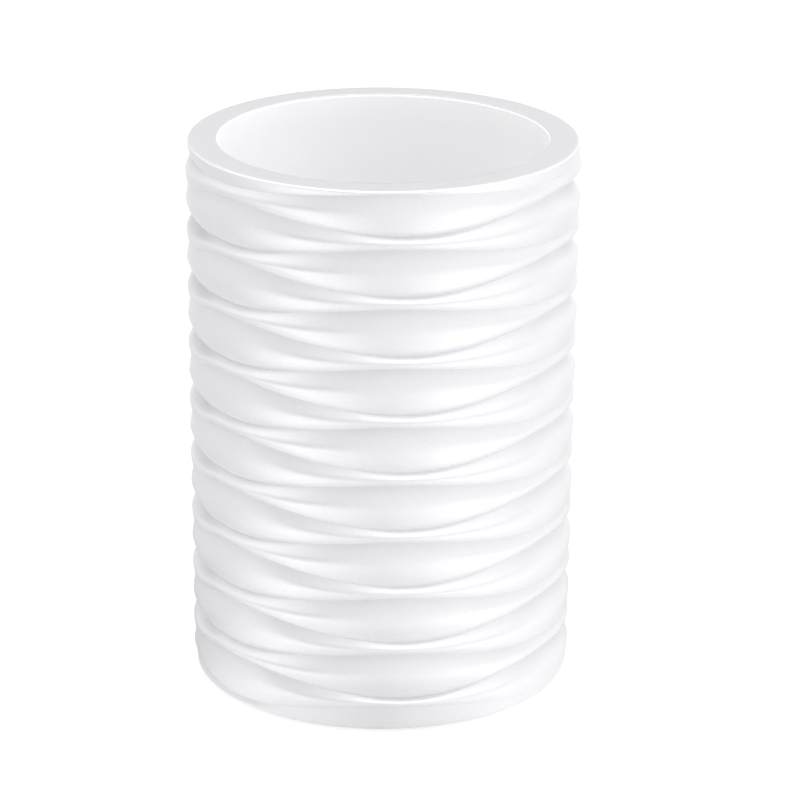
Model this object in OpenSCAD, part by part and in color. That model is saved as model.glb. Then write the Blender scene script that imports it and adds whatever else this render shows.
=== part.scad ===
// Bathroom tumbler: a cast resin cup with a wave relief, a smooth inner cup and a foam base pad.
// Millimetres, Z up, origin at the centre of the face it rests on.

/* [Overall size] */
// Height from the resting face to the rim
overall_height = 108; // [97:1:119]
// Width across the rib crests just under the rim
width_at_rim = 76; // [74:0.5:84]
// Width across the rib crests just over the base
width_at_base = 75; // [73:0.5:84]
// How far the flat rim edge stays inside the rib crests
rim_inset = 0.5; // [0.2:0.1:1]
// How far the base edge stays inside the rib crests
base_inset = 0.7; // [0.2:0.1:1.2]

/* [Wave relief] */
// Number of waves in one turn
wave_count = 3; // [2:1:6]
// Turn of the first wave from the front, in degrees
wave_turn = 5.5; // [0:0.5:60]
// Turn by which the waves of every second groove lag behind the others, in degrees
wave_lag = 4; // [0:0.5:15]
// Height of one pair of ribs
pair_height = 11.54; // [10.5:0.02:14]
// Rise and fall of each groove line about its mean height
wave_rise = 1.75; // [0.5:0.05:2.1]
// Mean depth of the grooves below the rib crests
groove_depth = 1.4; // [0.6:0.1:1.8]
// Share of its mean depth by which a groove gets deeper on one side of the tumbler and shallower on the other
depth_change_share = 0.35; // [0:0.05:0.9]
// Turn from the front to the side where every second groove is deepest, in degrees
depth_turn = 90; // [0:5:180]
// Share of a rib's height that lies under its crest
rib_lower_share = 0.4; // [0.3:0.05:0.6]
// Fullness of the lower flank of a rib, where 2 is a parabola
lower_fullness = 2.4; // [1.4:0.1:3.5]
// Fullness of the upper flank of a rib
upper_fullness = 1.4; // [1.2:0.1:3]
// How far the crest of a rib sinks in as the rib narrows towards nothing
crest_sink = 0.4; // [0:0.1:0.8]

/* [Rim lip and base band] */
// Mean height of the lip over the top groove
lip_height = 1.7; // [1.6:0.1:3]
// Rise and fall of the top groove
lip_rise = 1.1; // [0.3:0.05:1.15]
// Mean distance from the rim down to the second groove
first_rib = 7.2; // [6.6:0.1:8]
// Mean height of the plain band under the lowest groove
band_height = 2.9; // [2.7:0.1:4]
// Rise and fall of the lowest groove
band_rise = 1.8; // [0.5:0.1:1.9]
// Depth of the top and the lowest groove as a share of the others
edge_groove_share = 0.6; // [0.3:0.05:1]
// Rounding of the outer rim edge and of the base edge
edge_round = 0.4; // [0.2:0.05:0.5]

/* [Inner cup] */
// Width of the flat ring between the mouth and the rim edge
rim_land = 5.7; // [5:0.1:9]
// Distance from the rib crests to the inside of the cup at its floor
base_wall = 7.2; // [6.6:0.1:10]
// Wall of the inner cup
cup_wall = 1.2; // [0.8:0.1:1.5]
// Floor of the inner cup
cup_floor = 1.5; // [1:0.1:3]
// Radius between the wall and the floor of the inner cup
cup_corner = 6; // [3:0.5:12]
// Rounding of the mouth edge
mouth_round = 0.4; // [0.2:0.05:0.6]
// Glue line round the inner cup
cup_glue = 0.15; // [0.1:0.05:0.3]

/* [Base] */
// Resin left between the inner cup and the base pad
resin_floor = 5.5; // [4:0.5:10]
// Distance from the rib crests to the edge of the foam pad
pad_inset = 6.5; // [5.5:0.1:12]
// Thickness of the foam pad
pad_thickness = 1.5; // [1:0.1:3]
// How far the pad stands out of the resin
pad_proud = 0.5; // [0.3:0.1:0.9]
// Clearance round the pad in its recess
pad_clearance = 0.3; // [0.2:0.05:0.5]

/* [Hidden] */
$fn = 96;

// Steps round the tumbler and rows on one rib of the relief
steps_per_wave = 20;
relief_steps = wave_count <= 4 ? wave_count * steps_per_wave : wave_count * steps_per_wave / 2;
lower_shares = [0.45, 1];
upper_shares = [0.3, 0.65, 1];
lip_share = 0.45;
band_share = 0.55;
arc_steps = 12;
// Overrun of every cut
cut_over = 1;

// Grooves are counted down from the rim, and the top and the lowest have a height of their own.
half_pair = pair_height / 2;
top_groove = overall_height - lip_height;
second_groove = overall_height - first_rib;
low_groove = pad_proud + band_height;
least_gap_share = 0.8;
groove_count = floor((second_groove - low_groove) / half_pair - least_gap_share) + 2;

mouth_r = width_at_rim / 2 - rim_inset - rim_land;
floor_r = width_at_base / 2 - base_wall;
pad_r = width_at_base / 2 - pad_inset;

// Radius of the rib crests at a height
function crest(z) =
    width_at_base / 2 + (width_at_rim - width_at_base) / 2 * (z - pad_proud) / (overall_height - pad_proud);

// Swing of a groove line at an angle from the front, from -1 to 1, turned over on every second groove
function swing(k, a) =
    k % 2 == 0 ? cos(wave_count * (a - wave_turn))
    : -cos(wave_count * (a - wave_turn - wave_lag));

// Height of groove number k at an angle
function groove_z(k, a) =
    k == 0 ? top_groove + lip_rise * swing(k, a)
    : k == groove_count ? low_groove + band_rise * swing(k, a)
    : second_groove - (k - 1) * half_pair + wave_rise * swing(k, a);

// Depth of groove number k at an angle
function groove_d(k, a) =
    groove_depth * (1 + depth_change_share * (k % 2 == 0 ? -1 : 1) * cos(a - depth_turn))
    * (k == 0 || k == groove_count ? edge_groove_share : 1);

// How far a rib of a height stands in from the plain crest line
function sink(height) = crest_sink * max(0, 1 - height / half_pair);

// One point of the relief at an angle, a height and a radius
function spot(a, z, r) = [r * sin(a), -r * cos(a), z];

// The rows of the rib over groove number k, up to and with the next groove
function rib(k, a) =
    let (
        z0 = groove_z(k, a),
        height = groove_z(k - 1, a) - z0,
        lower = height * rib_lower_share,
        upper = height - lower,
        low_d = groove_d(k, a),
        high_d = groove_d(k - 1, a),
        in = min(sink(height), low_d, high_d)
    )
    concat(
        [
            for (u = lower_shares)
                let (z = z0 + lower * u)
                spot(a, z, crest(z) - in - (low_d - in) * pow(1 - u, lower_fullness))
        ],
        [
            for (u = upper_shares)
                let (z = z0 + lower + upper * u)
                spot(a, z, crest(z) - in - (high_d - in) * pow(u, upper_fullness))
        ]
    );

// The rows of one column, from the base edge up to the rim edge
function column(a) =
    let (
        base_r = crest(pad_proud) - base_inset,
        rim_r = crest(overall_height) - rim_inset,
        g_low = groove_z(groove_count, a),
        g_top = groove_z(0, a),
        low_r = crest(g_low) - groove_d(groove_count, a),
        top_r = crest(g_top) - groove_d(0, a),
        band_z = pad_proud + edge_round + (g_low - pad_proud - edge_round) * band_share,
        lip_z = g_top + (overall_height - edge_round - g_top) * lip_share
    )
    concat(
        [
            spot(a, pad_proud, base_r - edge_round),
            spot(a, pad_proud + edge_round, base_r),
            spot(a, band_z, base_r + (low_r - base_r) * pow(band_share, upper_fullness)),
            spot(a, g_low, low_r)
        ],
        [for (k = [groove_count : -1 : 1], p = rib(k, a)) p],
        [
            spot(a, lip_z, rim_r + (top_r - rim_r) * pow(1 - lip_share, lower_fullness)),
            spot(a, overall_height - edge_round, rim_r),
            spot(a, overall_height, rim_r - edge_round)
        ]
    );

// The whole outer form as one closed skin of triangles
module relief() {
    columns = [for (i = [0 : relief_steps - 1]) column(360 * i / relief_steps)];
    rows = len(columns[0]);
    skin = [for (c = columns, p = c) p];
    low_mid = len(skin);
    top_mid = low_mid + 1;
    sides = [
        for (i = [0 : relief_steps - 1], j = [0 : rows - 2])
            let (
                a = i * rows + j,
                b = ((i + 1) % relief_steps) * rows + j
            )
            for (t = [[a, a + 1, b], [b, a + 1, b + 1]]) t
    ];
    floor_fan = [
        for (i = [0 : relief_steps - 1])
            [low_mid, i * rows, ((i + 1) % relief_steps) * rows]
    ];
    rim_fan = [
        for (i = [0 : relief_steps - 1])
            [top_mid, ((i + 1) % relief_steps) * rows + rows - 1, i * rows + rows - 1]
    ];
    polyhedron(
        points = concat(skin, [[0, 0, pad_proud], [0, 0, overall_height]]),
        faces = concat(sides, floor_fan, rim_fan),
        convexity = 12
    );
}

// Points of a quarter round about a centre, from one angle to another
function arc(cx, cz, r, from, to) =
    [for (i = [0 : arc_steps]) let (a = from + (to - from) * i / arc_steps) [cx + r * cos(a), cz + r * sin(a)]];

pad_top = pad_thickness;
seat_z = pad_top + resin_floor;
inside_z = seat_z + cup_floor;
wall_lean = atan((mouth_r - floor_r) / (overall_height - inside_z));

// Half section of the space inside the inner cup, grown sideways and down to give its outer faces
module cup_section(grow, drop, top) {
    corner = cup_corner + min(grow, drop);
    grown_r = floor_r + grow;
    low = inside_z - drop;
    top_r = grown_r + (top - inside_z) * tan(wall_lean);
    polygon(concat(
        [[0, top], [0, low]],
        arc(grown_r - corner, low + corner, corner, -90, 0),
        [[top_r, top]]
    ));
}

// Cast resin cup: wave relief outside, seat for the inner cup, recess for the base pad
module body() {
    color([0.93, 0.93, 0.94])
    difference() {
        relief();
        rotate_extrude()
            cup_section(cup_wall + cup_glue, cup_floor, overall_height + cut_over);
        translate([0, 0, pad_proud - cut_over])
            cylinder(r = pad_r + pad_clearance, h = pad_top - pad_proud + cut_over);
    }
}

// Smooth plastic cup set into the resin, flush with the rim
module inner_cup() {
    color([0.97, 0.97, 0.97])
    difference() {
        rotate_extrude()
            cup_section(cup_wall, cup_floor, overall_height);
        rotate_extrude()
            cup_section(0, 0, overall_height + cut_over);
        rotate_extrude()
            polygon(concat(
                arc(mouth_r + mouth_round, overall_height - mouth_round, mouth_round, 180, 90),
                [[mouth_r + mouth_round, overall_height + cut_over], [0, overall_height + cut_over]],
                [[0, overall_height - mouth_round]]
            ));
    }
}

// Foam disc glued into the underside
module base_pad() {
    color([0.9, 0.9, 0.88])
    cylinder(r = pad_r, h = pad_thickness);
}

body();
inner_cup();
base_pad();
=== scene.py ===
"""Bathroom tumbler: a cast resin cup with a wave relief, a matt inner cup and a foam base pad."""

import math

import bmesh
import bpy
from bpy.props import FloatProperty, FloatVectorProperty, IntProperty, PointerProperty
from bpy.types import Operator, Panel, PropertyGroup
from mathutils import Matrix, Vector


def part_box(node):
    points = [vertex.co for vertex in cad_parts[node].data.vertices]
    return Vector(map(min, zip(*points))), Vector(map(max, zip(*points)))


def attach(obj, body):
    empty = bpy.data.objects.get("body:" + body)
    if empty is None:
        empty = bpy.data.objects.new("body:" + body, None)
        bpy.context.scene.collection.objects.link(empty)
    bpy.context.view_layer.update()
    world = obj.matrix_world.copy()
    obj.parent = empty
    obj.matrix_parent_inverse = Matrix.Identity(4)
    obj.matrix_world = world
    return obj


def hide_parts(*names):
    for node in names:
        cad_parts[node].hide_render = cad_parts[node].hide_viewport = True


bl_info = {
    "name": "Wave relief tumbler",
    "version": (1, 0, 0),
    "blender": (4, 5, 0),
    "location": "3D View > Sidebar > Tumbler",
    "description": "Builds a bathroom tumbler with a wave relief, an inner cup and a foam base pad",
    "category": "Add Mesh",
}

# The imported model, in metres. Its boxes give the sizes that the pieces have to keep.
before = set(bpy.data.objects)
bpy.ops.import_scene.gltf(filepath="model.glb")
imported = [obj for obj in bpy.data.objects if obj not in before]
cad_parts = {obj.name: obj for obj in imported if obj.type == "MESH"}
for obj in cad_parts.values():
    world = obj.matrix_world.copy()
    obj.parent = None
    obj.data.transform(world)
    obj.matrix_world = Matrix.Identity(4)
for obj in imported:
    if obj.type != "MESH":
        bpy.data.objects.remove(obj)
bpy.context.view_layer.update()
BODY_LOW, BODY_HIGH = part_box("body")
CUP_LOW, CUP_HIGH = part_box("inner_cup")
PAD_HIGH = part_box("base_pad")[1]

MM = 0.001


def linear(code):
    """Linear colour of an sRGB hex value."""
    parts = [int(code[i:i + 2], 16) / 255 for i in (1, 3, 5)]
    return [c / 12.92 if c <= 0.04045 else ((c + 0.055) / 1.055) ** 2.4 for c in parts]


# Sizes and colours that a user would change

class TumblerRelief(PropertyGroup):
    wave_count: IntProperty(
        name="Waves", description="Number of waves in one turn", default=3, min=1, max=8)
    wave_turn: FloatProperty(
        name="Wave turn", description="Turn of the first wave from the front",
        default=math.radians(5.5), subtype="ANGLE")
    wave_lag: FloatProperty(
        name="Wave lag", description="Turn by which the waves of every second groove lag behind the others",
        default=math.radians(4), subtype="ANGLE")
    pair_height: FloatProperty(
        name="Rib pair", description="Height of one pair of ribs",
        default=11.54 * MM, unit="LENGTH", precision=5)
    wave_rise: FloatProperty(
        name="Wave rise", description="Rise and fall of each groove line about its mean height",
        default=1.75 * MM, unit="LENGTH", precision=5)
    groove_depth: FloatProperty(
        name="Groove depth", description="Mean depth of the grooves below the rib crests",
        default=1.4 * MM, unit="LENGTH", precision=5)
    depth_change: FloatProperty(
        name="Depth change",
        description="Share of its depth that a groove gains on one side and loses on the other",
        default=0.35, min=0, max=1)
    depth_turn: FloatProperty(
        name="Depth turn",
        description="Turn from the front to the side where every second groove is deepest",
        default=math.radians(90), subtype="ANGLE")
    rib_lower_share: FloatProperty(
        name="Rib lower share", description="Share of a rib's height that lies under its crest",
        default=0.48, min=0.1, max=0.9)
    lower_fullness: FloatProperty(
        name="Lower fullness", description="Fullness of the lower flank of a rib, where 2 is a parabola",
        default=3.0, min=1, max=10)
    upper_fullness: FloatProperty(
        name="Upper fullness", description="Fullness of the upper flank of a rib",
        default=1.2, min=1, max=10)
    crest_sink: FloatProperty(
        name="Crest sink",
        description="How far the crest of a rib sinks in as the rib narrows towards nothing",
        default=0.4 * MM, unit="LENGTH", precision=5)
    lip_height: FloatProperty(
        name="Lip", description="Mean height of the lip over the top groove",
        default=1.7 * MM, unit="LENGTH", precision=5)
    lip_rise: FloatProperty(
        name="Lip wave", description="Rise and fall of the top groove",
        default=1.1 * MM, unit="LENGTH", precision=5)
    first_rib: FloatProperty(
        name="First rib", description="Mean distance from the rim down to the second groove",
        default=7.2 * MM, unit="LENGTH", precision=5)
    band_height: FloatProperty(
        name="Base band", description="Mean height of the plain band under the lowest groove",
        default=2.9 * MM, unit="LENGTH", precision=5)
    band_rise: FloatProperty(
        name="Band wave", description="Rise and fall of the lowest groove",
        default=1.8 * MM, unit="LENGTH", precision=5)
    rim_radius: FloatProperty(
        name="Crest radius at rim", description="Radius of the rib crests at the rim",
        default=38.0 * MM, unit="LENGTH", precision=5)
    base_radius: FloatProperty(
        name="Crest radius at base", description="Radius of the rib crests at the base",
        default=37.5 * MM, unit="LENGTH", precision=5)
    rim_inset: FloatProperty(
        name="Rim inset", description="How far the rim edge stays inside the rib crests",
        default=0.5 * MM, unit="LENGTH", precision=5)
    base_inset: FloatProperty(
        name="Base inset", description="How far the base edge stays inside the rib crests",
        default=0.7 * MM, unit="LENGTH", precision=5)


class TumblerInside(PropertyGroup):
    mouth_radius: FloatProperty(
        name="Mouth", description="Radius of the mouth",
        default=31.8 * MM, unit="LENGTH", precision=5)
    floor_radius: FloatProperty(
        name="Floor", description="Radius of the inside at its floor",
        default=30.3 * MM, unit="LENGTH", precision=5)
    corner: FloatProperty(
        name="Floor corner", description="Radius between the wall and the floor inside",
        default=6 * MM, unit="LENGTH", precision=5)
    cup_wall: FloatProperty(
        name="Cup wall", description="Wall of the inner cup",
        default=1.2 * MM, unit="LENGTH", precision=5)
    cup_floor: FloatProperty(
        name="Cup floor", description="Floor of the inner cup",
        default=1.5 * MM, unit="LENGTH", precision=5)
    mouth_round: FloatProperty(
        name="Mouth edge", description="Rounding of the mouth edge",
        default=0.4 * MM, unit="LENGTH", precision=5)
    glue: FloatProperty(
        name="Glue line", description="Gap between the inner cup and the resin",
        default=0.15 * MM, unit="LENGTH", precision=5)
    coat: FloatProperty(
        name="Coat over the cup", description="Thickness of the pearl coat where it covers the cup's edge",
        default=0.1 * MM, unit="LENGTH", precision=5)


class TumblerColours(PropertyGroup):
    pearl: FloatVectorProperty(
        name="Pearl coat", description="Colour of the pearl coat",
        default=linear("#EFEFF2"), subtype="COLOR", min=0, max=1)
    plastic: FloatVectorProperty(
        name="Inner cup", description="Colour of the matt inner cup",
        default=linear("#F3F3F4"), subtype="COLOR", min=0, max=1)
    foam: FloatVectorProperty(
        name="Foam", description="Colour of the foam pad",
        default=linear("#DEDDDA"), subtype="COLOR", min=0, max=1)


# Materials

def node(tree, kind, links=(), **settings):
    """Adds a node, with its settings and the links into its sockets."""
    made = tree.nodes.new(kind)
    for name, value in settings.items():
        if name.startswith("in_"):
            made.inputs[name[3:].replace("_", " ")].default_value = value
        else:
            setattr(made, name, value)
    for source, socket in links:
        tree.links.new(source, made.inputs[socket])
    return made


def new_material(name):
    """A material with an empty node tree, and that tree."""
    material = bpy.data.materials.new(name)
    material.use_nodes = True
    material.node_tree.nodes.clear()
    return material, material.node_tree


def pearl_coat_on_resin(colour):
    """Pearl lacquer sprayed over cast polyresin: a soft broad sheen, and a fine painted glint of mica flakes.
    """
    # The last share is the painted glint: how much brighter a flake cell is painted than the coat
    faint_pink, plain, painted_glint_gain = (0.985, 0.968, 0.975), 0.975, 1.03
    material, tree = new_material("pearl_lacquer_over_cast_resin")
    place = node(tree, "ShaderNodeTexCoord")
    # Mica flakes are far under a tenth of a millimetre, drawn at a quarter of one so their painted glint
    # shows
    flakes = node(
        tree, "ShaderNodeTexVoronoi", [(place.outputs["Object"], "Vector")],
        in_Scale=1 / (0.25 * MM))
    grain = node(
        tree, "ShaderNodeTexNoise", [(place.outputs["Object"], "Vector")],
        in_Scale=1 / (0.3 * MM), in_Detail=0.0)
    flake_bump = node(
        tree, "ShaderNodeBump", [(grain.outputs["Fac"], "Height")],
        in_Strength=0.22, in_Distance=0.03 * MM)
    # Slow drift of the coat between a faintly pink and a plain white, about two centimetres wide
    drift = node(
        tree, "ShaderNodeTexNoise", [(place.outputs["Object"], "Vector")],
        in_Scale=1 / (22 * MM), in_Detail=2.0)
    tint = node(
        tree, "ShaderNodeMix", [(drift.outputs["Fac"], "Factor")],
        data_type="RGBA")
    tint.inputs["A"].default_value = (*[c * share for c, share in zip(colour, faint_pink)], 1)
    tint.inputs["B"].default_value = (*[c * plain for c in colour], 1)
    # Painted glint: each flake cell takes a random share of a brighter coat colour
    painted_flake_glint = node(
        tree, "ShaderNodeMix", [(flakes.outputs["Color"], "Factor"), (tint.outputs["Result"], "A")],
        data_type="RGBA")
    painted_flake_glint.inputs["B"].default_value = (*[min(1, c * painted_glint_gain) for c in colour], 1)
    shader = node(
        tree, "ShaderNodeBsdfPrincipled",
        [(painted_flake_glint.outputs["Result"], "Base Color"), (flake_bump.outputs["Normal"], "Normal")],
        in_Metallic=0.5, in_Roughness=0.30, in_IOR=1.5)
    node(tree, "ShaderNodeOutputMaterial", [(shader.outputs["BSDF"], "Surface")])
    return material


def matt_moulded_plastic(colour):
    """Moulded polypropylene with a fine spark-eroded matt: no highlight edge, an even soft shade."""
    material, tree = new_material("matt_moulded_polypropylene")
    place = node(tree, "ShaderNodeTexCoord")
    # The spark-eroded grain is a few hundredths of a millimetre, drawn ten times as coarse so that it shows
    grain = node(
        tree, "ShaderNodeTexNoise", [(place.outputs["Object"], "Vector")],
        in_Scale=1 / (0.4 * MM), in_Detail=2.0)
    bump = node(
        tree, "ShaderNodeBump", [(grain.outputs["Fac"], "Height")],
        in_Strength=0.06, in_Distance=0.03 * MM)
    matt = node(
        tree, "ShaderNodeMapRange", [(grain.outputs["Fac"], "Value")],
        in_To_Min=0.42, in_To_Max=0.55)
    shader = node(
        tree, "ShaderNodeBsdfPrincipled",
        [(matt.outputs["Result"], "Roughness"), (bump.outputs["Normal"], "Normal")],
        in_Base_Color=(*colour, 1), in_IOR=1.49)
    node(tree, "ShaderNodeOutputMaterial", [(shader.outputs["BSDF"], "Surface")])
    return material


def closed_cell_foam(colour):
    """EVA foam sheet, die cut: dull, with cells of about half a millimetre and painted shade in their
    hollows.
    """
    # Share of the colour left at a cell's middle: painted shade in the cell's hollow
    painted_cell_shade = 0.82
    material, tree = new_material("closed_cell_eva_foam")
    place = node(tree, "ShaderNodeTexCoord")
    cells = node(
        tree, "ShaderNodeTexVoronoi", [(place.outputs["Object"], "Vector")],
        in_Scale=1 / (0.55 * MM))
    # Painted shade: each cell is darker towards its middle, which the bump sinks in
    painted_hollow_shade = node(
        tree, "ShaderNodeMix", [(cells.outputs["Distance"], "Factor")],
        data_type="RGBA")
    painted_hollow_shade.inputs["A"].default_value = (*[c * painted_cell_shade for c in colour], 1)
    painted_hollow_shade.inputs["B"].default_value = (*colour, 1)
    bump = node(
        tree, "ShaderNodeBump", [(cells.outputs["Distance"], "Height")],
        in_Strength=0.5, in_Distance=0.1 * MM)
    shader = node(
        tree, "ShaderNodeBsdfPrincipled",
        [(painted_hollow_shade.outputs["Result"], "Base Color"), (bump.outputs["Normal"], "Normal")],
        in_Roughness=0.9, in_IOR=1.45)
    node(tree, "ShaderNodeOutputMaterial", [(shader.outputs["BSDF"], "Surface")])
    return material


# The wave relief

RIB_ROWS = 10                # rows of faces on one rib
EDGE_ROUND = 0.4 * MM        # rounding of the rim and base edges
EDGE_GROOVE_SHARE = 0.6      # depth of the top and the lowest groove as a share of the others
LEAST_GAP_SHARE = 0.8        # least gap over the lowest groove, as a share of the height of a rib
# At the left and right sides, seen as the outline in the photo, the grooves run lower and cut deeper
SIDE_FROM = 0.84             # sine of the turn from which the sides begin
SIDE_SAG = 1.1 * MM          # how far a groove line sags there
SIDE_SAG_LEFT = 0.35 * MM    # more of it on the left, less on the right
SIDE_SAG_DEEPER = 0.3 * MM   # more of it for the deeper kind of groove
EDGE_SAG_SHARE = 0.5         # share of it that the top and the lowest groove take
SIDE_DEPTH = 0.7 * MM        # more depth for the deeper kind
SIDE_FADE_SHARE = 0.5        # and less for the other
SIDE_FULLNESS = 1.5          # fullness of the lower flank of a rib there
ROUNDING = 1e-6 * MM         # takes up what rounding does to a height


class Relief:
    """Moves a point of a plain tube to its place on the wave relief. Angles are from the front."""

    def __init__(self, sizes):
        self.s = sizes
        self.low = BODY_LOW.z
        self.high = BODY_HIGH.z
        half_pair = sizes.pair_height / 2
        top_groove = self.high - sizes.lip_height
        second_groove = self.high - sizes.first_rib
        low_groove = self.low + sizes.band_height
        # Grooves are counted down from the rim, and the top and the lowest have a height of their own
        self.count = math.floor((second_groove - low_groove) / half_pair - LEAST_GAP_SHARE) + 2
        regular = [second_groove - i * half_pair for i in range(self.count - 1)]
        self.means = [top_groove, *regular, low_groove]

    def crest(self, z):
        """Radius of the rib crests at a height."""
        share = (z - self.low) / (self.high - self.low)
        return self.s.base_radius + (self.s.rim_radius - self.s.base_radius) * share

    def swing(self, k, angle):
        """From -1 where a groove runs low to 1 where it runs high; every second groove is turned over."""
        turned = angle - self.s.wave_turn
        if k % 2 == 0:
            return math.cos(self.s.wave_count * turned)
        return -math.cos(self.s.wave_count * (turned - self.s.wave_lag))

    def side(self, angle):
        """0 over the front and the back, and 1 at the left and right sides of the tumbler."""
        share = (abs(math.sin(angle)) - SIDE_FROM) / (1 - SIDE_FROM)
        share = min(1.0, max(0.0, share))
        return share * share * (3 - 2 * share)

    def deeper(self, k, angle):
        """From -1 to 1: one kind of groove is deepest on one side of the tumbler, the other kind opposite."""
        return (-1 if k % 2 == 0 else 1) * math.cos(angle - self.s.depth_turn)

    def groove_z(self, k, angle):
        """Height of a groove line."""
        edge = k in (0, self.count)
        rise = self.s.lip_rise if k == 0 else self.s.band_rise if edge else self.s.wave_rise
        sag = SIDE_SAG + SIDE_SAG_LEFT * math.sin(-angle) + SIDE_SAG_DEEPER * self.deeper(k, angle)
        sag *= self.side(angle) * (EDGE_SAG_SHARE if edge else 1)
        return self.means[k] + rise * self.swing(k, angle) - sag

    def groove_depth(self, k, angle):
        """Grooves cut deeper on one side, and at the very side still more, where the others fade."""
        deeper = self.deeper(k, angle)
        depth = self.s.groove_depth * (1 + self.s.depth_change * deeper)
        if deeper > 0:
            depth += SIDE_DEPTH * deeper * self.side(angle)
        else:
            depth *= 1 + SIDE_FADE_SHARE * deeper * self.side(angle)
        return depth * (EDGE_GROOVE_SHARE if k in (0, self.count) else 1)

    def dip(self, share, height, low_depth, high_depth, side):
        """How deep a rib's section lies at a share of its height: its crest, and a flank on either side."""
        sink = self.s.crest_sink * max(0.0, 1 - 2 * height / self.s.pair_height)
        sink = min(sink, low_depth, high_depth)
        crest = self.s.rib_lower_share
        if share < crest:
            fullness = self.s.lower_fullness + (SIDE_FULLNESS - self.s.lower_fullness) * side
            return sink + (low_depth - sink) * (1 - share / crest) ** fullness
        return sink + (high_depth - sink) * ((share - crest) / (1 - crest)) ** self.s.upper_fullness

    def rib(self, z):
        """Number of the groove under a height of the plain tube, and the share of the way to the next."""
        for k in range(self.count, 0, -1):
            if z <= self.means[k - 1] + ROUNDING:
                return k, (z - self.means[k]) / (self.means[k - 1] - self.means[k])
        return 0, (z - self.means[0]) / (self.high - EDGE_ROUND - self.means[0])

    def move(self, z, angle):
        """Height and radius on the relief of a point of the plain tube."""
        if z < self.means[self.count]:
            return self.on_band(z, angle)
        k, share = self.rib(z)
        share = min(1.0, max(0.0, share))
        if k == 0:
            return self.on_lip(share, angle)
        low, high = self.groove_z(k, angle), self.groove_z(k - 1, angle)
        height = low + (high - low) * share
        depths = self.groove_depth(k, angle), self.groove_depth(k - 1, angle)
        dip = self.dip(share, high - low, *depths, self.side(angle))
        return height, self.crest(height) - dip

    def on_band(self, z, angle):
        """The plain band, from the base edge up to the lowest groove."""
        bottom = self.low + EDGE_ROUND
        share = max(0.0, (z - bottom) / (self.means[self.count] - bottom))
        top = self.groove_z(self.count, angle)
        base_r = self.base_radius()
        groove_r = self.crest(top) - self.groove_depth(self.count, angle)
        return bottom + (top - bottom) * share, base_r + (groove_r - base_r) * share ** self.s.upper_fullness

    def on_lip(self, share, angle):
        """The lip, from the top groove up to the rim edge."""
        low = self.groove_z(0, angle)
        top = self.high - EDGE_ROUND
        rim_r = self.rim_radius()
        groove_r = self.crest(low) - self.groove_depth(0, angle)
        return low + (top - low) * share, rim_r + (groove_r - rim_r) * (1 - share) ** self.s.lower_fullness

    def rim_radius(self):
        """Radius of the flat rim's outer edge."""
        return self.crest(self.high) - self.s.rim_inset

    def base_radius(self):
        """Radius of the base edge."""
        return self.crest(self.low) - self.s.base_inset

    def wall(self):
        """Heights of the rows between the base edge and the rim edge, close together at each groove."""
        heights = []
        start = self.low + EDGE_ROUND
        for stop in (*self.means[::-1], self.high - EDGE_ROUND):
            for i in range(1, RIB_ROWS + 1):
                share = 0.5 - 0.5 * math.cos(math.pi * i / RIB_ROWS)
                heights.append(start + (stop - start) * share)
            start = stop
        return heights[:-1]


# The pieces

TURN_STEPS = 336             # steps round the tumbler
EDGE_STEPS = 4               # steps on the rounding of an edge
CORNER_STEPS = 10            # steps on the corner between the wall and the floor inside
INSIDE_FLOOR_STEPS = 6       # rings of faces on the floor inside
INSIDE_WALL_STEPS = 20       # rows of faces on the wall inside
RIM_STEPS = 8                # rings of faces on the flat rim
MERGE_DISTANCE = 1e-4 * MM   # points closer than this are one point
PAD_EDGE = 0.25 * MM         # rounding of the edge that the die leaves on the pad
PAD_CLEARANCE = 0.3 * MM     # clearance round the pad in its recess
COAT_START_SHARE = 0.35      # share of the mouth's rounding that stays free of the coat
# The coat's own edge at the mouth: how far out from its start, and how far under the rim
COAT_EDGE = ((0.02 * MM, 0.03 * MM), (0.12 * MM, 0.0))
CLEAR_OF_WALL = 0.01 * MM    # nothing but the wall of the plain tube is spun this near the crest radius


def quarter(cx, cz, radius, start, end, steps):
    """Points of a quarter round in the plane of the section."""
    out = []
    for i in range(steps + 1):
        angle = math.radians(start + (end - start) * i / steps)
        out.append((cx + radius * math.cos(angle), cz + radius * math.sin(angle)))
    return out


def spun(name, section, material):
    """A piece spun from a half section of (radius, height) points."""
    bm = bmesh.new()
    verts = [bm.verts.new((0, -r, z)) for r, z in section]
    edges = [bm.edges.new(pair) for pair in zip(verts, verts[1:])]
    bmesh.ops.spin(
        bm, geom=verts + edges, cent=(0, 0, 0), axis=(0, 0, 1), dvec=(0, 0, 0),
        angle=2 * math.pi, steps=TURN_STEPS, use_merge=True)
    bmesh.ops.remove_doubles(bm, verts=bm.verts[:], dist=MERGE_DISTANCE)
    bmesh.ops.recalc_face_normals(bm, faces=bm.faces[:])
    for face in bm.faces:
        face.smooth = True
    mesh = bpy.data.meshes.new(name)
    bm.to_mesh(mesh)
    bm.free()
    piece = bpy.data.objects.new(name, mesh)
    bpy.context.scene.collection.objects.link(piece)
    mesh.materials.append(material)
    return piece


def cup_line(inside, grow, drop, top):
    """Half section of the space inside the cup, grown sideways and down, from the axis up to the rim."""
    corner = inside.corner + min(grow, drop)
    inside_z = CUP_LOW.z + inside.cup_floor
    lean = (inside.mouth_radius - inside.floor_radius) / (CUP_HIGH.z - inside_z)
    floor_r = inside.floor_radius + grow
    low = inside_z - drop
    points = [((floor_r - corner) * i / INSIDE_FLOOR_STEPS, low) for i in range(INSIDE_FLOOR_STEPS)]
    points += quarter(floor_r - corner, low + corner, corner, -90, 0, CORNER_STEPS)
    start = low + corner
    for i in range(1, INSIDE_WALL_STEPS + 1):
        z = start + (top - start) * i / INSIDE_WALL_STEPS
        points.append((floor_r + (z - inside_z) * lean, z))
    return points


def takes_place_of(node_name, piece):
    """Hides the CAD node that a piece stands for and puts the piece under its body. The tumbler is one rigid
    body.
    """
    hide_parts(node_name)
    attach(piece, "root")


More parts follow.
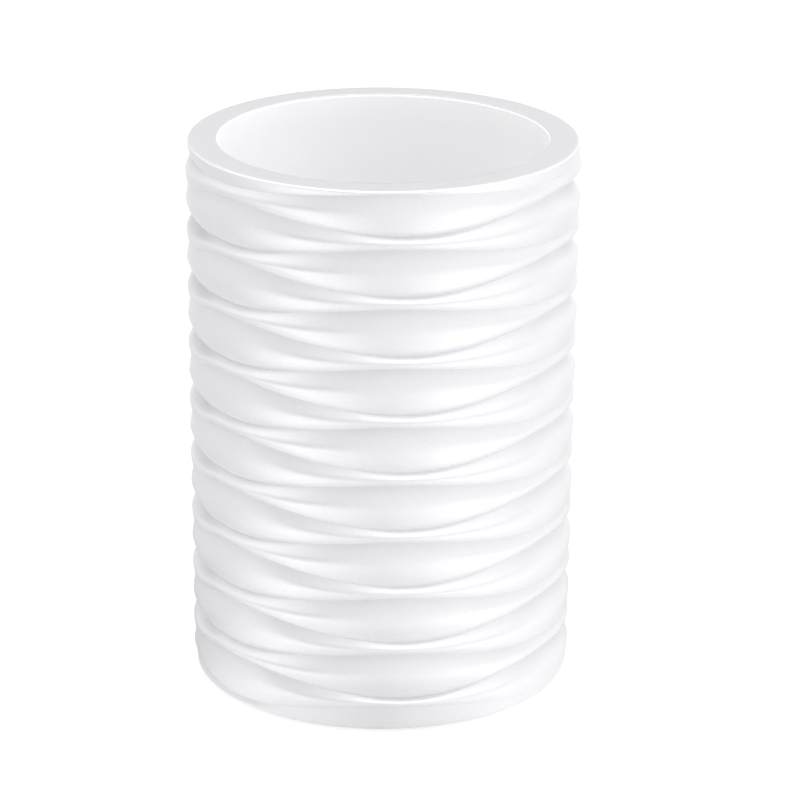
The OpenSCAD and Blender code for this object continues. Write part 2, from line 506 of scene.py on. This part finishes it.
class TUMBLER_OT_body(Operator):
    """Build the resin cup with its wave relief and pearl coat"""
    bl_idname = "tumbler.body"
    bl_label = "Resin body"

    def section(self, relief, inside):
        """Half section with a straight wall: the cup's seat, the rim, the wall and the underside."""
        rim_r, base_r = relief.rim_radius(), relief.base_radius()
        coat_r = inside.mouth_radius + inside.mouth_round * COAT_START_SHARE
        coat_z = relief.high - inside.coat
        seat = cup_line(inside, inside.cup_wall + inside.glue, inside.cup_floor, coat_z)
        coat = [(coat_r, coat_z), *[(coat_r + out, relief.high - down) for out, down in COAT_EDGE]]
        ring_width = rim_r - EDGE_ROUND - coat_r
        ring = [(coat_r + ring_width * i / RIM_STEPS, relief.high) for i in range(1, RIM_STEPS)]
        rim_edge = quarter(rim_r - EDGE_ROUND, relief.high - EDGE_ROUND, EDGE_ROUND, 90, 0, EDGE_STEPS)
        wall = [(relief.s.rim_radius, z) for z in reversed(relief.wall())]
        base_edge = quarter(base_r - EDGE_ROUND, relief.low + EDGE_ROUND, EDGE_ROUND, 0, -90, EDGE_STEPS)
        recess_r = PAD_HIGH.x + PAD_CLEARANCE
        under = [(recess_r, relief.low), (recess_r, PAD_HIGH.z), (0, PAD_HIGH.z)]
        return seat + coat + ring + rim_edge + wall + base_edge + under

    def execute(self, context):
        relief = Relief(context.scene.tumbler_relief)
        material = pearl_coat_on_resin(context.scene.tumbler_colours.pearl)
        piece = spun("pearl_body", self.section(relief, context.scene.tumbler_inside), material)
        for vert in piece.data.vertices:
            if math.hypot(vert.co.x, vert.co.y) < relief.s.rim_radius - CLEAR_OF_WALL:
                continue
            angle = math.atan2(vert.co.x, -vert.co.y)
            height, radius = relief.move(vert.co.z, angle)
            vert.co = (radius * math.sin(angle), -radius * math.cos(angle), height)
        piece.data.update()
        takes_place_of("body", piece)
        return {"FINISHED"}


class TUMBLER_OT_inner_cup(Operator):
    """Build the matt inner cup"""
    bl_idname = "tumbler.inner_cup"
    bl_label = "Inner cup"

    def execute(self, context):
        inside = context.scene.tumbler_inside
        top = CUP_HIGH.z - inside.coat
        edge = inside.mouth_round
        outer = cup_line(inside, inside.cup_wall, inside.cup_floor, top)
        inner = cup_line(inside, 0, 0, top - edge)
        lip = quarter(inner[-1][0] + edge, top - edge, edge, 180, 90, EDGE_STEPS)
        material = matt_moulded_plastic(context.scene.tumbler_colours.plastic)
        piece = spun("matt_inner_cup", inner + lip[1:] + outer[::-1], material)
        takes_place_of("inner_cup", piece)
        return {"FINISHED"}


class TUMBLER_OT_base_pad(Operator):
    """Build the foam base pad"""
    bl_idname = "tumbler.base_pad"
    bl_label = "Base pad"

    def execute(self, context):
        radius, thick = PAD_HIGH.x, PAD_HIGH.z
        section = [(0, 0), (radius / 2, 0)]
        section += quarter(radius - PAD_EDGE, PAD_EDGE, PAD_EDGE, -90, 0, EDGE_STEPS)
        section += quarter(radius - PAD_EDGE, thick - PAD_EDGE, PAD_EDGE, 0, 90, EDGE_STEPS)
        section += [(radius / 2, thick), (0, thick)]
        piece = spun("foam_base_pad", section, closed_cell_foam(context.scene.tumbler_colours.foam))
        takes_place_of("base_pad", piece)
        return {"FINISHED"}


# Stage

# The photo's camera, found from the outlines of the rim, the mouth and the base
IMAGE_SIDE = 798             # pixels
FOCAL_PIXELS = 3400
SENSOR_WIDTH = 36            # the camera's own millimetres
CAMERA_PLACE = Vector((3.113, -628.67, 281.82)) * MM
CAMERA_PITCH = 0.34676       # radians, looks down by 19.9 degrees
CAMERA_YAW = math.radians(0.02)
CAMERA_ROLL = 0.00699        # radians, leans by 0.4 degrees
CAMERA_CLIP = 0.01, 20       # metres

# Strength of the white studio at eighths of a turn from behind the tumbler, past its left side (-X), its
# front and its right side. The rings are the floor's painted glow as the gloss sees it, and the room at the
# floor and halfway up. They are matched to the light and shade on the ribs in the photo.
FLOOR_SHINE = (1.10, 0.63, 0.60, 1.27, 0.73, 1.31, 0.96, 0.73)
ROOM_LOW = (0.12, 0.80, 0.60, 0.22, 0.72, 0.70, 0.58, 0.95)
ROOM_MIDDLE = (0.09, 0.68, 1.27, 0.97, 0.67, 1.01, 1.36, 0.72)
ROOM_TOP = 2.2               # strength straight overhead
ROOM_MIDDLE_UP = math.radians(40)   # how high the ring halfway up stands over the horizon
WHITE_SEEN = 1.0             # strength of the white that the camera sees
FLOOR_GLOW = 0.80            # part of that white which no shadow dims, on the floor
FLOOR_SHADED = 0.24          # grey on top of it, which takes the tumbler's shadow
FLOOR_COLOUR = (0.80, 0.80, 0.80)   # the floor as it lights the tumbler
FLOOR_RADIUS = 2.5           # metres
FLOOR_SIDES = 96
FLOOR_DROP = 0.03 * MM       # keeps the floor and the face of the pad from showing through each other
FOOT_NEAR, FOOT_FAR = 38 * MM, 100 * MM   # painted shadow: the floor's shine dims between these distances from the tumbler's axis
FOOT_PAINTED_SHADOW = 0.85            # painted shadow, down to this share of the shine at the foot

# Name, place, width and power of each softbox, all turned to the middle of the tumbler
SOFTBOXES = (
    ("right_softbox", (0.75, -0.35, 0.45), 0.7, 0.8),
    ("left_softbox", (-0.8, -0.5, 0.4), 0.6, 0.5),
    ("top_softbox", (0.1, 0.1, 0.9), 0.8, 6.6),
)
SOFTBOX_AIM = Vector((0, 0, 0.06))


def all_round(tree, place, levels):
    """Socket with a strength that follows the turn round the tumbler through a ring of levels."""
    split = node(tree, "ShaderNodeSeparateXYZ", [(place, "Vector")])
    front = node(tree, "ShaderNodeMath", [(split.outputs["Y"], 0)], operation="MULTIPLY")
    front.inputs[1].default_value = -1
    turn = node(
        tree, "ShaderNodeMath", [(split.outputs["X"], 0), (front.outputs[0], 1)],
        operation="ARCTAN2")
    share = node(
        tree, "ShaderNodeMapRange", [(turn.outputs[0], "Value")],
        in_From_Min=-math.pi, in_From_Max=math.pi, in_To_Min=0.0, in_To_Max=1.0)
    ramp = node(tree, "ShaderNodeValToRGB", [(share.outputs["Result"], "Fac")])
    most = max(levels)
    stops = ramp.color_ramp.elements
    for i, level in enumerate((*levels, levels[0])):
        part = i / len(levels)
        stop = stops[0] if i == 0 else stops[-1] if i == len(levels) else stops.new(part)
        stop.position = part
        stop.color = (*[level / most] * 3, 1)
    strength = node(tree, "ShaderNodeMath", [(ramp.outputs["Color"], 0)], operation="MULTIPLY")
    strength.inputs[1].default_value = most
    return strength.outputs[0]


def studio_white(name, colour):
    """A pale surface that the camera sees as white, with a faint shadow. To the gloss it glows as painted
    light, with levels round the tumbler and a painted shadow at its foot.
    """
    material, tree = new_material(name)
    path = node(tree, "ShaderNodeLightPath")
    place = node(tree, "ShaderNodeTexCoord")
    seen = node(
        tree, "ShaderNodeMath",
        [(path.outputs["Is Camera Ray"], 0), (path.outputs["Is Transmission Ray"], 1)],
        operation="MAXIMUM")
    plain = node(tree, "ShaderNodeBsdfDiffuse", in_Color=(*colour, 1))
    glow = node(tree, "ShaderNodeEmission", in_Color=(1, 1, 1, 1), in_Strength=FLOOR_GLOW)
    shaded = node(tree, "ShaderNodeBsdfDiffuse", in_Color=(*[FLOOR_SHADED] * 3, 1))
    white = node(tree, "ShaderNodeAddShader", [(glow.outputs[0], 0), (shaded.outputs[0], 1)])
    away = node(tree, "ShaderNodeVectorMath", [(place.outputs["Object"], 0)], operation="LENGTH")
    # Painted shadow: the floor's glow in the gloss dims towards the tumbler's foot, by distance from its axis
    painted_foot_shadow = node(
        tree, "ShaderNodeMapRange", [(away.outputs["Value"], "Value")],
        in_From_Min=FOOT_NEAR, in_From_Max=FOOT_FAR, in_To_Min=FOOT_PAINTED_SHADOW, in_To_Max=1.0)
    level = node(
        tree, "ShaderNodeMath",
        [(all_round(tree, place.outputs["Object"], FLOOR_SHINE), 0), (painted_foot_shadow.outputs["Result"], 1)],
        operation="MULTIPLY")
    # Painted light: to the gloss the floor glows, though it is no lamp, at levels round the tumbler
    shine = node(tree, "ShaderNodeEmission", [(level.outputs[0], "Strength")], in_Color=(1, 1, 1, 1))
    first = node(
        tree, "ShaderNodeMixShader",
        [(path.outputs["Is Glossy Ray"], 0), (plain.outputs[0], 1), (shine.outputs[0], 2)])
    last = node(
        tree, "ShaderNodeMixShader",
        [(seen.outputs[0], 0), (first.outputs[0], 1), (white.outputs[0], 2)])
    node(tree, "ShaderNodeOutputMaterial", [(last.outputs[0], "Surface")])
    return material


def studio_room():
    """White surroundings: plain to the camera, and to the tumbler weak at the floor and strong overhead."""
    world = bpy.data.worlds.new("studio_room")
    world.use_nodes = True
    tree = world.node_tree
    tree.nodes.clear()
    path = node(tree, "ShaderNodeLightPath")
    toward = node(tree, "ShaderNodeTexCoord").outputs["Generated"]
    split = node(tree, "ShaderNodeSeparateXYZ", [(toward, "Vector")])
    up = node(tree, "ShaderNodeMath", [(split.outputs["Z"], 0)], operation="ARCSINE")
    low_to_middle = node(
        tree, "ShaderNodeMapRange", [(up.outputs[0], "Value")],
        in_From_Min=0.0, in_From_Max=ROOM_MIDDLE_UP, in_To_Min=0.0, in_To_Max=1.0)
    middle_to_top = node(
        tree, "ShaderNodeMapRange", [(up.outputs[0], "Value")],
        in_From_Min=ROOM_MIDDLE_UP, in_From_Max=math.pi / 2, in_To_Min=0.0, in_To_Max=1.0)
    sides = node(
        tree, "ShaderNodeMix",
        [(low_to_middle.outputs["Result"], "Factor"), (all_round(tree, toward, ROOM_LOW), "A"),
         (all_round(tree, toward, ROOM_MIDDLE), "B")])
    whole = node(
        tree, "ShaderNodeMix",
        [(middle_to_top.outputs["Result"], "Factor"), (sides.outputs["Result"], "A")])
    whole.inputs["B"].default_value = ROOM_TOP
    room = node(
        tree, "ShaderNodeBackground", [(whole.outputs["Result"], "Strength")], in_Color=(1, 1, 1, 1))
    seen = node(tree, "ShaderNodeBackground", in_Color=(1, 1, 1, 1), in_Strength=WHITE_SEEN)
    pick = node(
        tree, "ShaderNodeMixShader",
        [(path.outputs["Is Camera Ray"], 0), (room.outputs[0], 1), (seen.outputs[0], 2)])
    node(tree, "ShaderNodeOutputWorld", [(pick.outputs[0], "Surface")])
    return world


def softbox(name, place, width, power):
    """A square softbox that doesn't show in the gloss."""
    data = bpy.data.lights.new(name, "AREA")
    data.shape = "SQUARE"
    data.size = width
    data.energy = power
    light = bpy.data.objects.new(name, data)
    bpy.context.scene.collection.objects.link(light)
    light.location = place
    light.rotation_euler = (SOFTBOX_AIM - Vector(place)).to_track_quat("-Z", "Y").to_euler()
    light.visible_glossy = False


def studio_floor():
    """A wide pale disc that the tumbler stands on."""
    bm = bmesh.new()
    bmesh.ops.create_circle(bm, cap_ends=True, segments=FLOOR_SIDES, radius=FLOOR_RADIUS)
    mesh = bpy.data.meshes.new("studio_floor")
    bm.to_mesh(mesh)
    bm.free()
    mesh.materials.append(studio_white("pale_studio_floor", FLOOR_COLOUR))
    floor = bpy.data.objects.new("studio_floor", mesh)
    floor.location.z = -FLOOR_DROP
    bpy.context.scene.collection.objects.link(floor)


def photo_camera():
    """The camera at the photo's place, looking ahead and down, and leaning a little."""
    level = Vector((math.sin(CAMERA_YAW), math.cos(CAMERA_YAW), 0))
    ahead = level * math.cos(CAMERA_PITCH) - Vector((0, 0, math.sin(CAMERA_PITCH)))
    right = Vector((math.cos(CAMERA_YAW), -math.sin(CAMERA_YAW), 0))
    up = right.cross(ahead)
    across = right * math.cos(CAMERA_ROLL) + up * math.sin(CAMERA_ROLL)
    upright = up * math.cos(CAMERA_ROLL) - right * math.sin(CAMERA_ROLL)
    data = bpy.data.cameras.new("photo_camera")
    data.sensor_fit = "HORIZONTAL"
    data.sensor_width = SENSOR_WIDTH
    data.lens = FOCAL_PIXELS / IMAGE_SIDE * SENSOR_WIDTH
    data.clip_start, data.clip_end = CAMERA_CLIP
    camera = bpy.data.objects.new("photo_camera", data)
    bpy.context.scene.collection.objects.link(camera)
    turn = Matrix((across, upright, -ahead)).transposed().to_4x4()
    camera.matrix_world = Matrix.Translation(CAMERA_PLACE) @ turn
    return camera


class TUMBLER_OT_stage(Operator):
    """Build the floor, the light and the camera"""
    bl_idname = "tumbler.stage"
    bl_label = "Stage"

    def execute(self, context):
        scene = context.scene
        studio_floor()
        scene.world = studio_room()
        for name, place, width, power in SOFTBOXES:
            softbox(name, place, width, power)
        scene.camera = photo_camera()
        scene.view_settings.view_transform = "Standard"
        return {"FINISHED"}


class TUMBLER_PT_panel(Panel):
    """Sizes, colours and pieces of the tumbler"""
    bl_label = "Tumbler"
    bl_idname = "TUMBLER_PT_panel"
    bl_space_type = "VIEW_3D"
    bl_region_type = "UI"
    bl_category = "Tumbler"

    def draw(self, context):
        for scene_name, group in GROUPS.items():
            box = self.layout.box()
            for name in group.__annotations__:
                box.prop(getattr(context.scene, scene_name), name)
        for operator in OPERATORS:
            self.layout.operator(operator.bl_idname)


GROUPS = {
    "tumbler_relief": TumblerRelief,
    "tumbler_inside": TumblerInside,
    "tumbler_colours": TumblerColours,
}
OPERATORS = (TUMBLER_OT_body, TUMBLER_OT_inner_cup, TUMBLER_OT_base_pad, TUMBLER_OT_stage)


def register():
    for item in (*GROUPS.values(), *OPERATORS, TUMBLER_PT_panel):
        bpy.utils.register_class(item)
    for name, group in GROUPS.items():
        setattr(bpy.types.Scene, name, PointerProperty(type=group))


def unregister():
    for name in GROUPS:
        delattr(bpy.types.Scene, name)
    for item in (TUMBLER_PT_panel, *OPERATORS[::-1], *list(GROUPS.values())[::-1]):
        bpy.utils.unregister_class(item)


def main():
    register()
    bpy.ops.tumbler.body()
    bpy.ops.tumbler.inner_cup()
    bpy.ops.tumbler.base_pad()
    bpy.ops.tumbler.stage()


if __name__ == "__main__":
    main()
